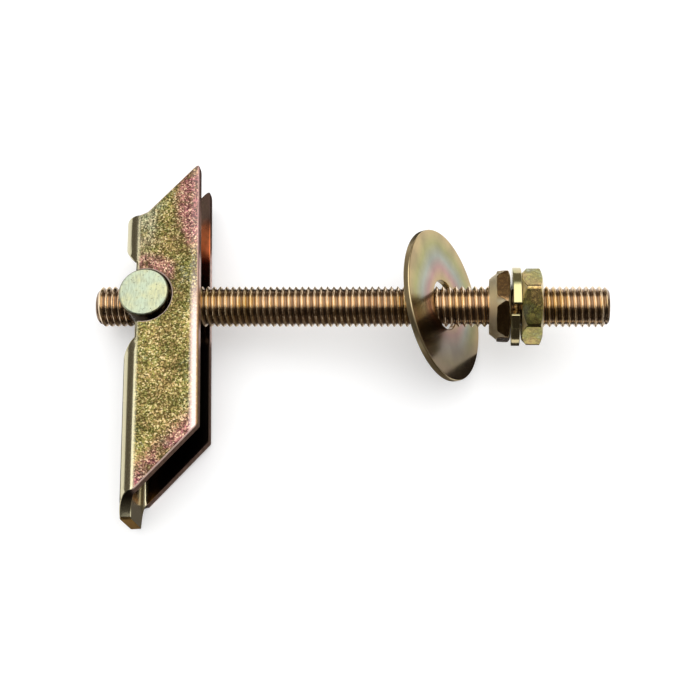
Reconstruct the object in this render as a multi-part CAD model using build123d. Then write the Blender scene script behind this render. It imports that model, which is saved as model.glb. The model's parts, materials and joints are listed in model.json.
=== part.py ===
from build123d import *
from math import cos, radians, sin
import os

# Spring toggle bolt: a threaded rod with a tilting channel toggle on a
# cross-threaded trunnion nut, a large washer, and two thin hex nuts with a
# split spring lock washer between them. Millimetres.
#
# The pieces are first shaped in the bolt frame: rod axis along +X, toggle
# pivot through the origin along Z, washer and nuts at +X. The whole bolt is
# then turned and set down as it lies at rest on a level floor.

# Threaded rod
rod_diameter = 8.0
rod_length = 100.0
rod_chamfer = 0.9
rod_tail = 10.6

# Trunnion nut
trunnion_diameter = 9.9
trunnion_length = 15.4
trunnion_edge_chamfer = 0.35
thread_clearance = 0.05

# Toggle channel
sheet_thickness = 2.2
channel_width = 13.9
channel_depth = 15.0
bend_radius = 3.0
pivot_to_free_edge = 10.7
short_half_length = 28.0
long_half_length = 27.2
short_cut_run = 10.4
web_short_end = 16.0
web_long_end = 43.9
free_edge_rounding = 0.3
seat_diameter = 10.8
seat_bearing_gap = 0.06
seat_edge_chamfer = 0.35
window_width = 14.5
window_centre_short = 4.4
window_centre_long = 6.8
window_depth = 2.5
toggle_rest_swing = 4.0

# Large washer
washer_diameter = 30.0
washer_bore = 9.7
washer_thickness = 1.2
washer_edge_chamfer = 0.15
washer_station = 57.6
washer_side_shift = 0.3
washer_lean = 26.0
washer_yaw = 2.5

# Thin hex nuts
nut_across_flats = 13.0
nut_thickness = 4.0
nut_face_margin = 0.35
inner_nut_deep_bevel = 0.82
inner_nut_slight_bevel = 0.65
outer_nut_deep_bevel = 0.24
outer_nut_slight_bevel = 0.18
nut_bore_chamfer = 0.4
inner_nut_station = 66.55
inner_nut_turn = 13.0
outer_nut_turn = 51.0

# Spring lock washer
lock_outer_diameter = 15.2
lock_bore = 8.5
lock_thickness = 1.7
lock_rise = 0.4
lock_gap_angle = 14.0
lock_split_angle = 213.0
stack_gap = 0.03

# Rest pose on the floor
rest_pitch = -4.9647
rest_roll = 1.8668

bore_radius = rod_diameter / 2 + thread_clearance
seat_slack = seat_diameter / 2 - trunnion_diameter / 2 - seat_bearing_gap
web_face = pivot_to_free_edge - channel_depth
short_fold_end = web_short_end + bend_radius / 3
lock_station = inner_nut_station + nut_thickness + stack_gap
outer_nut_station = lock_station + lock_thickness + lock_rise + stack_gap


def along_x(radius, start, end):
    """Cylinder about the rod axis from x = start to x = end."""
    return Pos((start + end) / 2, 0, 0) * Rot(0, 90, 0) * Cylinder(radius, end - start)


def threaded_rod():
    """Rod with a chamfer on both ends."""
    rod = along_x(rod_diameter / 2, -rod_tail, rod_length - rod_tail)
    ends = rod.edges().filter_by(GeomType.CIRCLE)
    return chamfer(ends, rod_chamfer)


def trunnion_nut():
    """Round bar across the channel with the rod's hole through its middle."""
    bar = Cylinder(trunnion_diameter / 2, trunnion_length)
    bar = chamfer(bar.edges().filter_by(GeomType.CIRCLE), trunnion_edge_chamfer)
    return bar - along_x(bore_radius, -trunnion_diameter, trunnion_diameter)


def flange_outline():
    """Side view of both flanges from the fold to the free edge, slanted at 45 degrees."""
    right = pivot_to_free_edge
    fold = web_face + bend_radius
    outline = Polyline(
        (fold, -long_half_length - (right - fold)),
        (right, -long_half_length),
        (right, short_half_length),
        (right - short_cut_run, short_half_length - short_cut_run),
        (fold, short_fold_end),
        close=True,
    )
    return extrude(make_face(outline), channel_width, both=True)


def web_outline():
    """View of the flat of the web, square at both ends."""
    length = web_short_end + web_long_end
    middle = (web_short_end - web_long_end) / 2
    block = Box(channel_depth, length, channel_width - 2 * bend_radius)
    return Pos(web_face + bend_radius - channel_depth / 2, middle, 0) * block


def bend_outline(side):
    """One bend's ends, cut square to the sheet and drawn out towards the web's ends."""
    fold = web_face + bend_radius
    flat = channel_width / 2 - bend_radius
    long_fold_end = long_half_length + pivot_to_free_edge - fold
    core = (bend_radius - sheet_thickness) / 2
    rim = bend_radius * 1.5
    sections = []
    for angle in (0.0, 22.5, 45.0, 67.5, 90.0):
        across, down = sin(radians(angle)), cos(radians(angle))
        top = short_fold_end + (web_short_end - short_fold_end) * (1 - down)
        bottom = -long_fold_end - (web_long_end - long_fold_end) * (1 - down)
        corners = [
            (fold - reach * across, y, side * (flat + reach * down))
            for reach, y in ((core, bottom), (rim, bottom), (rim, top), (core, top))
        ]
        sections.append(make_face(Polyline(*corners, close=True)))
    return loft(sections, ruled=True)


def toggle_channel():
    """Folded channel with slanted ends, a window in the web and two open seats."""
    half = channel_width / 2
    outer = Pos(web_face + channel_depth / 2, 0) * Rectangle(channel_depth, channel_width)
    corners = outer.vertices().sort_by(Axis.X)[0:2]
    outer = fillet(corners, bend_radius)
    inner_width = channel_width - 2 * sheet_thickness
    inner = Pos(web_face + sheet_thickness + channel_depth / 2, 0)
    inner = inner * Rectangle(channel_depth, inner_width)
    corners = inner.vertices().sort_by(Axis.X)[0:2]
    inner = fillet(corners, bend_radius - sheet_thickness)
    profile = outer - inner
    # The profile's second axis becomes the bolt frame's Z.
    channel = extrude(Plane.XZ * profile, -short_half_length - web_long_end)
    channel = Pos(0, -web_long_end, 0) * channel
    edges = channel.edges().filter_by(Axis.Y).group_by(Axis.X)[-1]
    outside = [edge for edge in edges if abs(edge.center().Z) > half - 0.1]
    channel = fillet(outside, free_edge_rounding)
    outline = flange_outline() + web_outline() + bend_outline(1) + bend_outline(-1)
    channel = channel & outline
    # Window through the web and both bends.
    reach = web_face + window_depth
    middle = (window_centre_short - window_centre_long) / 2
    slot_length = window_centre_short + window_centre_long
    slot = Rectangle(slot_length, window_width)
    for end in (-slot_length / 2, slot_length / 2):
        slot += Pos(end, 0) * Circle(window_width / 2)
    window = Plane(origin=(reach, middle, 0), x_dir=(0, 1, 0), z_dir=(-1, 0, 0)) * slot
    channel -= extrude(window, channel_depth)
    # Open round seats for the trunnion, a little slack and bearing at the top.
    channel -= Pos(0, -seat_slack, 0) * Cylinder(seat_diameter / 2, 2 * channel_width)
    for side in (-1, 1):
        cone_top = seat_diameter / 2 + seat_edge_chamfer
        flare = Cone(cone_top, cone_top - seat_edge_chamfer, seat_edge_chamfer)
        if side > 0:
            flare = Rot(180, 0, 0) * flare
        channel -= Pos(0, -seat_slack, side * (half - seat_edge_chamfer / 2)) * flare
    return channel.rotate(Axis.Z, toggle_rest_swing)


def large_washer():
    """Thin wide washer, leaning on the rod."""
    washer = Cylinder(washer_diameter / 2, washer_thickness)
    washer = chamfer(washer.edges().filter_by(GeomType.CIRCLE), washer_edge_chamfer)
    washer -= Cylinder(washer_bore / 2, washer_thickness * 2)
    washer = Rot(0, 90 - washer_lean, 0) * washer
    washer = Rot(0, 0, washer_yaw) * washer
    return Pos(washer_station, washer_side_shift, 0) * washer


def thin_nut(start, turn, left_bevel, right_bevel):
    """Thin hex nut with bevelled corners and a chamfered hole.

    Along a corner, the left bevel takes its share of the nut's thickness, and the
    right bevel its share of what is left.
    """
    corner = nut_across_flats / 2 / cos(radians(30))
    face = nut_across_flats / 2 - nut_face_margin
    mouth = bore_radius + nut_bore_chamfer
    turned_profile = Polyline(
        (bore_radius, nut_bore_chamfer),
        (mouth, 0),
        (face, 0),
        (corner, nut_thickness * left_bevel),
        (corner, nut_thickness * (1 - (1 - left_bevel) * right_bevel)),
        (face, nut_thickness),
        (mouth, nut_thickness),
        (bore_radius, nut_thickness - nut_bore_chamfer),
        close=True,
    )
    blank = revolve(Plane.XZ * make_face(turned_profile), Axis.Z)
    body = blank & extrude(RegularPolygon(corner, 6), nut_thickness)
    return Pos(start, 0, 0) * Rot(turn, 0, 0) * Rot(0, 90, 0) * body


def spring_lock_washer():
    """Split ring of square-cut bar, its two ends sprung apart along the axis."""
    mean_radius = (lock_outer_diameter + lock_bore) / 4
    bar_width = (lock_outer_diameter - lock_bore) / 2
    sweep_angle = 360 - lock_gap_angle
    pitch = lock_rise * 360 / sweep_angle
    path = Helix(pitch, lock_rise, mean_radius)
    bar = Plane.XZ * (Pos(mean_radius, 0) * Rectangle(bar_width, lock_thickness))
    ring = sweep(bar, path=path, is_frenet=True)
    ring = Pos(0, 0, lock_thickness / 2) * ring
    return Pos(lock_station, 0, 0) * Rot(lock_split_angle, 0, 0) * Rot(0, 90, 0) * ring


pieces = {
    "threaded_rod": threaded_rod(),
    "trunnion_nut": trunnion_nut(),
    "toggle_channel": toggle_channel(),
    "large_washer": large_washer(),
    "inner_nut": thin_nut(
        inner_nut_station, inner_nut_turn, inner_nut_deep_bevel, inner_nut_slight_bevel
    ),
    "spring_lock_washer": spring_lock_washer(),
    "outer_nut": thin_nut(
        outer_nut_station, outer_nut_turn, outer_nut_deep_bevel, outer_nut_slight_bevel
    ),
}

# Turn every piece into the rest pose, then stand the group on z = 0.
resting = {}
for name, piece in pieces.items():
    turned = piece.rotate(Axis.Y, rest_pitch).rotate(Axis.X, rest_roll)
    resting[name] = turned
boxes = [piece.bounding_box() for piece in resting.values()]
box = boxes[0]
for other in boxes[1:]:
    box = box.add(other)
shift = Pos(-box.center().X, -box.center().Y, -box.min.Z)

os.makedirs("parts", exist_ok=True)
for name, piece in resting.items():
    placed = shift * piece
    placed.label = name
    export_step(placed, f"parts/{name}.step")
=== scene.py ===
"""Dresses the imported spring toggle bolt: cut threads, folded sheet, plating, floor, light and camera.

Every piece is built in its own axes in millimetres and placed by the joints and mounts of the
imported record, so it stays where its CAD node is.
"""

from __future__ import annotations

import json
import logging
import math
from abc import ABC, abstractmethod
from dataclasses import dataclass, field
from enum import Enum
from typing import Any, Protocol, Union

import bmesh
import bpy
import numpy as np
from mathutils import Matrix, Vector
from mathutils.geometry import delaunay_2d_cdt

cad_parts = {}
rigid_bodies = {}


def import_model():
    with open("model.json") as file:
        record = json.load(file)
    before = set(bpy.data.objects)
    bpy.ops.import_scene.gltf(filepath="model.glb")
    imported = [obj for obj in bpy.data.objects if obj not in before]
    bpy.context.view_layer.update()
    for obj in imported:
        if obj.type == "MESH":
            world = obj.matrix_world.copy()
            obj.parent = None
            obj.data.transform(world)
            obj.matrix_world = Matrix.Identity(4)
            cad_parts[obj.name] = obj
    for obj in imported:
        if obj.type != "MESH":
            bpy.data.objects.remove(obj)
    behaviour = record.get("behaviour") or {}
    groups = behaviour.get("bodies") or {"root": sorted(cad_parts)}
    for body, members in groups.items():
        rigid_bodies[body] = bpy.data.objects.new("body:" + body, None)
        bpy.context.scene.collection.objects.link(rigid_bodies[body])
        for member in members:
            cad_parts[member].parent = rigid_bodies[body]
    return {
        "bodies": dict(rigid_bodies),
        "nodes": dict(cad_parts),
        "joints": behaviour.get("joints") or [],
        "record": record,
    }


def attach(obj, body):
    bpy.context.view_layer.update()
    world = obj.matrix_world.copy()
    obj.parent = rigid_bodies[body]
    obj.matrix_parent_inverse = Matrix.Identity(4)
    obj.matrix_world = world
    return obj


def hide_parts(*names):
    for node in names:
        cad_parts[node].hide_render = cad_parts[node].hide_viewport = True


LOG = logging.getLogger("toggle_bolt")
MM = 0.001
FULL_TURN = 2 * math.pi
WELD_MM = 1e-4
FLAT_TOLERANCE = 1e-6
SHARP_EDGE = math.radians(40)

Colour = tuple[float, float, float]
Point2 = tuple[float, float]
Point3 = tuple[float, float, float]
Span = tuple[float, float]


class Axis(Enum):
    """Axes of a piece, in the order of its coordinates."""

    X = 0
    Y = 1
    Z = 2


class Wire:
    """An output socket of a node tree that can be used in sums."""

    def __init__(self, graph: Graph, socket: bpy.types.NodeSocket | None) -> None:
        """Keep the graph and the socket; a node that ends a tree has none."""
        self.graph = graph
        self.socket = socket

    def _math(self, operation: str, left: Term, right: Term) -> Wire:
        """Join two terms with one Math node.

        Args:
            operation: Name of the Math node's operation.
            left: First term.
            right: Second term.

        Returns:
            The node's result.
        """
        return self.graph.node("ShaderNodeMath", {"operation": operation}, {0: left, 1: right})

    def __add__(self, other: Term) -> Wire:
        """Return self + other."""
        return self._math("ADD", self, other)

    __radd__ = __add__

    def __sub__(self, other: Term) -> Wire:
        """Return self - other."""
        return self._math("SUBTRACT", self, other)

    def __rsub__(self, other: Term) -> Wire:
        """Return other - self."""
        return self._math("SUBTRACT", other, self)

    def __mul__(self, other: Term) -> Wire:
        """Return self * other."""
        return self._math("MULTIPLY", self, other)

    __rmul__ = __mul__

    def __pow__(self, other: Term) -> Wire:
        """Return self raised to other."""
        return self._math("POWER", self, other)

    def clamped(self) -> Wire:
        """Return the value held between 0 and 1."""
        return self.graph.node("ShaderNodeClamp", None, {0: self})

    def size(self) -> Wire:
        """Return the value without its sign."""
        return self._math("ABSOLUTE", self, 0.0)

    def larger(self, other: Term) -> Wire:
        """Return the larger of two values."""
        return self._math("MAXIMUM", self, other)

    def step(self, low: float, high: float) -> Wire:
        """Return a smooth rise from 0 at low to 1 at high.

        Args:
            low: Value where the rise starts.
            high: Value where the rise ends; below low, the step falls.

        Returns:
            The step, between 0 and 1.
        """
        settings = {"interpolation_type": "SMOOTHSTEP"}
        return self.graph.node("ShaderNodeMapRange", settings, {0: self, 1: low, 2: high})


Term = Union[Wire, float]


class Graph:
    """Node tree of one material."""

    def __init__(self, tree: bpy.types.NodeTree) -> None:
        """Take the tree and empty it."""
        self.tree = tree
        tree.nodes.clear()

    def node(
        self,
        kind: str,
        settings: dict[str, Any] | None = None,
        sockets: dict[int | str, Any] | None = None,
        output: int | str = 0,
    ) -> Wire:
        """Add one node.

        Args:
            kind: Blender's name of the node type.
            settings: Properties of the node, set first; "stops" are a ramp's colour stops.
            sockets: Values or wires for its inputs, by name or place.
            output: Which output to return.

        Returns:
            The wire from that output.
        """
        made = self.tree.nodes.new(kind)
        for key, value in (settings or {}).items():
            if key == "stops":
                self._set_stops(made.color_ramp, value)
            else:
                setattr(made, key, value)
        for key, value in (sockets or {}).items():
            socket = made.inputs[key]
            if isinstance(value, Wire):
                self.tree.links.new(value.socket, socket)
            elif socket.type == "RGBA":
                colour = value.value if isinstance(value, Enum) else value
                socket.default_value = (*colour, 1.0)
            else:
                socket.default_value = value
        return Wire(self, made.outputs[output] if made.outputs else None)

    @staticmethod
    def _set_stops(ramp: bpy.types.ColorRamp, stops: tuple[tuple[float, Hue], ...]) -> None:
        """Give a colour ramp its stops.

        Args:
            ramp: The ramp to fill.
            stops: Place of each stop, from 0 to 1, and its hue.
        """
        while len(ramp.elements) < len(stops):
            ramp.elements.new(0.5)
        for element, (place, hue) in zip(ramp.elements, stops):
            element.position = place
            element.color = (*hue.value, 1.0)

    def mix(self, share: Term, low: Any, high: Any) -> Wire:
        """Blend two colours.

        Args:
            share: How much of high shows, 0 to 1.
            low: First colour: a wire, a Hue or a Tint.
            high: Second colour.

        Returns:
            The blended colour.
        """
        return self.node("ShaderNodeMix", {"data_type": "RGBA"}, {0: share, 6: low, 7: high}, 2)

    def place(self) -> Wire:
        """Return the position on the piece in its own axes, in millimetres."""
        here = self.node("ShaderNodeTexCoord", None, None, "Object")
        return self.stretched(here, (1 / MM,) * 3)

    def stretched(self, place: Wire, scale: Point3) -> Wire:
        """Return a position scaled along its three axes."""
        return self.node("ShaderNodeVectorMath", {"operation": "MULTIPLY"}, {0: place, 1: scale})

    def radius(self, place: Wire, about: Axis) -> Wire:
        """Return how far a position lies from one of the piece's axes."""
        flat = self.stretched(place, tuple(0.0 if axis is about else 1.0 for axis in Axis))
        return self.node("ShaderNodeVectorMath", {"operation": "LENGTH"}, {0: flat}, "Value")

    def reach(self, place: Wire, way: Point3) -> Wire:
        """Return how far a position lies along a direction."""
        sockets = {0: place, 1: way}
        return self.node("ShaderNodeVectorMath", {"operation": "DOT_PRODUCT"}, sockets, "Value")

    def scaled(self, colour: Wire, level: Term) -> Wire:
        """Return a colour made brighter or darker by a level."""
        sockets = {0: colour, "Scale": level}
        return self.node("ShaderNodeVectorMath", {"operation": "SCALE"}, sockets)

    def axis(self, place: Wire, axis: Axis) -> Wire:
        """Return one coordinate of a position."""
        return self.node("ShaderNodeSeparateXYZ", None, {0: place}, axis.name)

    def normal(self, axis: Axis) -> Wire:
        """Return one coordinate of the direction that the surface faces, in the piece's axes."""
        return self.axis(self.node("ShaderNodeTexCoord", None, None, "Normal"), axis)

    def noise(self, place: Wire, size: float, detail: float = 2.0, rough: float = 0.5) -> Wire:
        """Return a soft random pattern.

        Args:
            place: Position in millimetres.
            size: Width of one feature in millimetres.
            detail: Number of finer layers.
            rough: Strength of the finer layers.

        Returns:
            A value around 0.5.
        """
        sockets = {"Vector": place, "Scale": 1 / size, "Detail": detail, "Roughness": rough}
        return self.node("ShaderNodeTexNoise", None, sockets)

    def cells(self, place: Wire, size: float) -> Wire:
        """Return a random value for each crystal of the plating.

        Args:
            place: Position in millimetres.
            size: Width of a crystal in millimetres.

        Returns:
            A value from 0 to 1.
        """
        sockets = {"Vector": place, "Scale": 1 / size}
        colour = self.node("ShaderNodeTexVoronoi", None, sockets, "Color")
        return self.node("ShaderNodeSeparateColor", None, {0: colour}, "Red")

    def ray(self, kind: str) -> Wire:
        """Return 1 for rays of one kind, 0 for the others."""
        return self.node("ShaderNodeLightPath", None, None, f"Is {kind} Ray")

    def seen(self) -> Wire:
        """Return 1 where the camera or a reflection looks, 0 for light that falls on things."""
        rays = self.ray("Camera") + self.ray("Glossy") + self.ray("Transmission")
        return rays.clamped()


def blank_material(name: str) -> tuple[bpy.types.Material, Graph]:
    """Start a material.

    Args:
        name: The material's name.

    Returns:
        The material and its empty node tree.
    """
    made = bpy.data.materials.new(name)
    made.use_nodes = True
    return made, Graph(made.node_tree)


def added(name: str, data: bpy.types.ID) -> bpy.types.Object:
    """Add an object to the scene.

    Args:
        name: The object's name.
        data: Its mesh, lamp or camera.

    Returns:
        The object.
    """
    made = bpy.data.objects.new(name, data)
    bpy.context.scene.collection.objects.link(made)
    return made


class Hue(Enum):
    """Hues of the yellow chromate film."""

    UMBER = (0.10, 0.050, 0.030)
    BROWN = (0.34, 0.19, 0.095)
    CREAM = (0.88, 0.68, 0.46)
    GOLD = (0.66, 0.46, 0.17)
    ROSE = (0.58, 0.29, 0.27)
    TEAL = (0.46, 0.50, 0.42)
    OLIVE = (0.44, 0.42, 0.11)
    BRONZE = (0.42, 0.25, 0.10)


FILM: tuple[tuple[float, Hue], ...] = (
    (0.00, Hue.UMBER),
    (0.10, Hue.BROWN),
    (0.22, Hue.CREAM),
    (0.34, Hue.GOLD),
    (0.46, Hue.ROSE),
    (0.58, Hue.TEAL),
    (0.72, Hue.OLIVE),
    (0.86, Hue.GOLD),
    (1.00, Hue.BRONZE),
)


class Tint(Enum):
    """Colours over the film: burnished, cut and worn places, and painted shade, highlights and
    reflections.
    """

    ROSE_PATCH = (0.64, 0.22, 0.25)
    GLINT = (0.82, 0.69, 0.44)
    BURNISHED = (0.72, 0.54, 0.50)
    ROSY_RIM = (0.42, 0.26, 0.24)
    ROLLED_BEND = (0.60, 0.55, 0.36)
    DEEP_SHADE = (0.035, 0.022, 0.016)
    FLAME = (0.95, 0.26, 0.09)
    AMBER = (0.42, 0.20, 0.05)
    TORN_CUT = (0.42, 0.27, 0.22)
    SHEARED_CUT = (0.70, 0.46, 0.39)
    DARK_CUT = (0.03, 0.018, 0.014)
    HONEY = (0.80, 0.50, 0.16)
    BRIGHT_LIP = (1.0, 0.86, 0.78)
    ROSY_LIP = (0.52, 0.34, 0.32)
    BROWN_LIP = (0.50, 0.33, 0.15)
    PALE_GREEN = (0.47, 0.54, 0.40)
    PALE_GOLD = (0.54, 0.54, 0.32)
    STREAK = (0.32, 0.35, 0.26)
    FLECK = (0.12, 0.11, 0.08)
    DULL_STRAW = (0.56, 0.50, 0.36)
    LOW_BROWN = (0.22, 0.14, 0.10)
    STAMPED_RIM = (0.60, 0.48, 0.27)
    THREAD_ROOT = (0.13, 0.07, 0.04)
    BEVEL_CREAM = (0.93, 0.83, 0.60)
    SPRING_GREY = (0.48, 0.46, 0.34)


@dataclass(frozen=True)
class Surface:
    """What a finish works out for the shader: colour, gloss and relief."""

    colour: Wire
    roughness: Wire
    height: Wire
    relief_mm: float


@dataclass(frozen=True)
class PlatedFinish(ABC):
    """Zinc plating under a yellow chromate film, shared by all the pieces.

    The film's hue follows its thickness, which drifts in patches over the piece. A zone of a
    finish is a Span: its share rises from 0 at the first value to 1 at the second.
    """

    name: str
    patch_mm: float
    drift: float
    thickness: float

    @abstractmethod
    def surface(self, graph: Graph, place: Wire) -> Surface:
        """Work out the look of the piece.

        Args:
            graph: Tree to build in.
            place: Position in millimetres, in the piece's own axes.

        Returns:
            Its colour, gloss and relief.
        """

    def film(self, graph: Graph, place: Wire, extra: Term = 0.0) -> Wire:
        """Return the film's colour.

        Args:
            graph: Tree to build in.
            place: Position in millimetres.
            extra: Thickness added by the piece's own layout.

        Returns:
            The colour.
        """
        patches = graph.noise(place, self.patch_mm, detail=3.0, rough=0.55)
        thickness = (patches - 0.5) * (2 * self.drift) + self.thickness + extra
        return graph.node("ShaderNodeValToRGB", {"stops": FILM}, {0: thickness})

    def material(self) -> bpy.types.Material:
        """Build the material.

        Returns:
            A metal with the film's colour, gloss and relief.
        """
        made, graph = blank_material(self.name)
        look = self.surface(graph, graph.place())
        bump = {"Strength": 1.0, "Distance": look.relief_mm * MM, "Height": look.height}
        sockets = {
            "Base Color": look.colour,
            "Metallic": 1.0,
            "Roughness": look.roughness,
            "Normal": graph.node("ShaderNodeBump", None, bump),
        }
        shader = graph.node("ShaderNodeBsdfPrincipled", None, sockets)
        graph.node("ShaderNodeOutputMaterial", None, {"Surface": shader})
        return made


@dataclass(frozen=True)
class SpringFinish(PlatedFinish):
    """Plating of the spring lock washer: the film, paled, with a faint grain."""

    grain_mm: float = 0.35
    pale_share: float = 0.45
    roughness: float = 0.10
    grain_rough: float = 0.08
    relief_mm: float = 0.003

    def surface(self, graph: Graph, place: Wire) -> Surface:
        """Work out the look of the lock washer.

        Args:
            graph: Tree to build in.
            place: Position in millimetres, in the piece's own axes.

        Returns:
            Its colour, gloss and relief.
        """
        colour = graph.mix(self.pale_share, self.film(graph, place), Tint.SPRING_GREY)
        grain = graph.noise(place, self.grain_mm, detail=3.0)
        return Surface(colour, grain * self.grain_rough + self.roughness, grain, self.relief_mm)


@dataclass(frozen=True)
class SheetFinish(PlatedFinish):
    """Speckled plating of the folded sheet, burnished along its bends and free edges.

    Painted shade darkens the inside of the fold and the cut faces of the seats and bends; painted
    highlights run beside the free edges, along the rolled lips and on the web's long end, and a
    painted orange reflection lies inside the short half. X runs across the flanges to their free
    edges, Y along the channel to its short end and Z through both flanges.
    """

    # Grain and crystals, and the clouds that gather them.
    grain_mm: float = 0.25
    crystal_mm: float = 0.375
    cloud_mm: float = 5.0
    crystal_drift: float = 0.16
    # Rose patches: the slanted foot, the shoulder by the free edge and the collar of the seat.
    slant: float = 37.9
    foot: Span = (7.0, 1.0)
    shoulder_across: Span = (4.5, 8.0)
    shoulder_along: Span = (6.0, 13.0)
    collar_radius: Span = (9.5, 7.0)
    collar_along: Span = (-2.0, 4.0)
    collar_share: float = 0.85
    rose_clouds: Span = (0.30, 0.52)
    rose_share: float = 0.6
    rose_drift: float = 0.4
    # Pale worn patch, sparks and glints.
    worn_across: Span = (5.0, 1.0)
    worn_along: Span = (4.0, 14.0)
    worn_clouds: Span = (0.40, 0.60)
    worn_share: float = 0.45
    spark_weights: tuple[float, float, float] = (1.2, 0.8, 0.9)
    spark_zone: Span = (1.00, 2.15)
    spark_power: float = 1.3
    spark_level: float = 0.84
    dark_level: float = 0.10
    glint_tones: Span = (0.80, 0.96)
    glint_clouds: Span = (0.20, 0.65)
    glint_share: float = 0.50
    # The long half, the strip beside the free edge, burnished and painted pale as a highlight most of all
    # on the long half, and the rim itself.
    long_half: Span = (6.0, -8.0)
    strip_from: Span = (8.7, 9.8)
    strip_to: Span = (10.5, 10.2)
    strip_share: float = 0.10
    strip_long_share: float = 0.80
    rim_from: Span = (10.2, 10.5)
    rim_share: float = 0.7
    # Bends, the painted shade on the inner face, and the painted orange reflection inside the short half.
    bend_zone: Span = (-0.8, -1.6)
    bend_share: float = 0.92
    cut_bend_zone: Span = (-0.7, -1.9)
    inner_shade_zone: Span = (6.6, 6.2)
    inner_shade_share: float = 0.97
    reflection_across: Span = (5.0, 8.5)
    reflection_from: Span = (10.5, 14.0)
    reflection_to: Span = (21.5, 15.5)
    reflection_mm: float = 3.5
    reflection_clouds: Span = (0.15, 0.55)
    open_end: Span = (-35.5, -39.0)
    amber_share: float = 0.8
    # Cut faces by the way they face, their torn grain, the painted shade in the seats and the painted
    # highlight on the web's long end.
    end_facing: Span = (0.35, 0.6)
    cut_facing: Span = (0.5, 0.25)
    cut_share: float = 0.98
    torn_mm: float = 0.9
    torn_stretch: Point3 = (1.0, 1.0, 0.3)
    torn_zone: Span = (0.3, 0.7)
    seat_radius: Span = (6.3, 5.7)
    web_end_half: Span = (4.4, 3.6)
    # Rolled lips of the edges, by the way they face, painted pale as a highlight line.
    lip_from: Span = (0.985, 0.90)
    lip_to: Span = (0.2, 0.45)
    lip_highlight_share: float = 0.85
    # Gloss and relief: speckles are rough, burnished steel is smooth, lips and cut ends are soft.
    roughness: float = 0.18
    speckle_rough: float = 0.15
    soft_rough: float = 0.2
    lip_softness: float = 3.0
    web_end_softness: float = 2.0
    strip_smoothness: float = 0.5
    relief_mm: float = 0.045
    relief_loss: float = 0.94

    def speckled(self, graph: Graph, place: Wire, fine: Wire) -> Wire:
        """Return the film of the flanges: crystals of gold, olive and rose with bright sparks.

        Args:
            graph: Tree to build in.
            place: Position in millimetres.
            fine: The finest grain.

        Returns:
            The colour.
        """
        across = graph.axis(place, Axis.X)
        along = graph.axis(place, Axis.Y)
        hues = graph.cells(place, self.crystal_mm)
        tones = graph.cells(place, self.grain_mm)
        clouds = graph.noise(place, self.cloud_mm, detail=3.0)
        colour = self.film(graph, place, (hues - 0.5) * self.crystal_drift)
        foot = (along - across + self.slant).step(*self.foot)
        shoulder = across.step(*self.shoulder_across) * along.step(*self.shoulder_along)
        collar = graph.radius(place, Axis.Z).step(*self.collar_radius) * along.step(*self.collar_along)
        rose = (foot + shoulder + collar * self.collar_share).clamped() * clouds.step(*self.rose_clouds)
        colour = graph.mix(rose * (hues * self.rose_drift + self.rose_share), colour, Tint.ROSE_PATCH)
        worn = along.step(*self.worn_along) * across.step(*self.worn_across)
        colour = graph.mix(worn * clouds.step(*self.worn_clouds) * self.worn_share, colour, Hue.TEAL)
        by_grain, by_tone, by_cloud = self.spark_weights
        spark = (fine * by_grain + tones * by_tone + clouds * by_cloud).step(*self.spark_zone)
        colour = graph.scaled(colour, spark**self.spark_power * self.spark_level + self.dark_level)
        glint = tones.step(*self.glint_tones) * clouds.step(*self.glint_clouds)
        return graph.mix(glint * self.glint_share, colour, Tint.GLINT)

    def inner_shade_and_reflection(self, graph: Graph, place: Wire, glow: Wire) -> Wire:
        """Return the painted shade inside the fold, which turns amber towards its open long end.

        Args:
            graph: Tree to build in.
            place: Position in millimetres.
            glow: Where the inside carries a painted orange reflection.

        Returns:
            The colour.
        """
        open_end = graph.axis(place, Axis.Y).step(*self.open_end)
        # Painted orange reflection, broken into clouds.
        painted_reflection = glow * graph.noise(place, self.reflection_mm).step(*self.reflection_clouds)
        dim = graph.mix(painted_reflection, Tint.DEEP_SHADE, Tint.FLAME)
        # The painted shade turns amber towards the open long end.
        return graph.mix(open_end * self.amber_share, dim, Tint.AMBER)

    def cut_face(self, graph: Graph, place: Wire, on_bend: Wire, web_end: Wire) -> Wire:
        """Return the sheet's sheared edges, with painted shade and a painted highlight.

        Args:
            graph: Tree to build in.
            place: Position in millimetres.
            on_bend: Where the edge lies on the web and its bends, painted with shade like the seats.
            web_end: Where it is the web's long end, painted with a honey highlight.

        Returns:
            The colour.
        """
        seat = graph.radius(place, Axis.Z).step(*self.seat_radius)
        drawn = graph.stretched(place, self.torn_stretch)
        torn = graph.noise(drawn, self.torn_mm, detail=4.0, rough=0.7)
        sheared = graph.mix(torn.step(*self.torn_zone), Tint.TORN_CUT, Tint.SHEARED_CUT)
        # Painted shade on the cut faces in the seats and on the bends.
        shaded_cut = graph.mix((seat + on_bend).clamped(), sheared, Tint.DARK_CUT)
        # Painted highlight on the web's long end.
        return graph.mix(web_end, shaded_cut, Tint.HONEY)

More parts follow.
